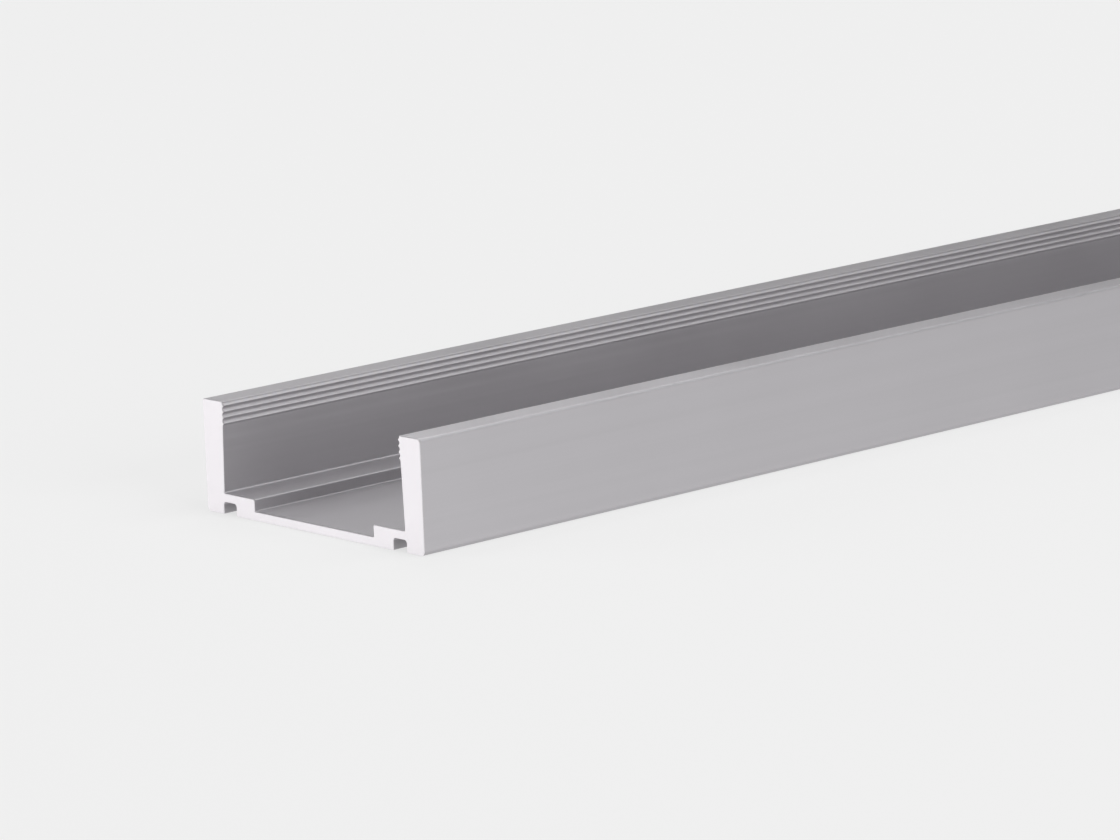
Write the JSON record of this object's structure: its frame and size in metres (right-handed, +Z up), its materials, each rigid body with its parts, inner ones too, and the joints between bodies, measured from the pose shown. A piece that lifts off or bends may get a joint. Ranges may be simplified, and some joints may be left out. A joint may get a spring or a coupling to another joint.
{
  "type": "aluminium channel extrusion profile",
  "caption": "Shallow aluminium U-channel cut from extruded stock, with corner ledges for a strip seat, open end-cap grooves and ribbed inner walls for a press-in cover.",
  "frame": {"origin": "middle of the underside", "axes": "+X along the length, +Y across the width, +Z up out of the open side"},
  "size_m": [0.5, 0.02, 0.007],
  "materials": {
    "anodised_aluminium": "satin, clear anodised, with sawn ends"
  },
  "bodies": {
    "root": {"channel_profile": "anodised_aluminium"}
  },
  "joints": []
}
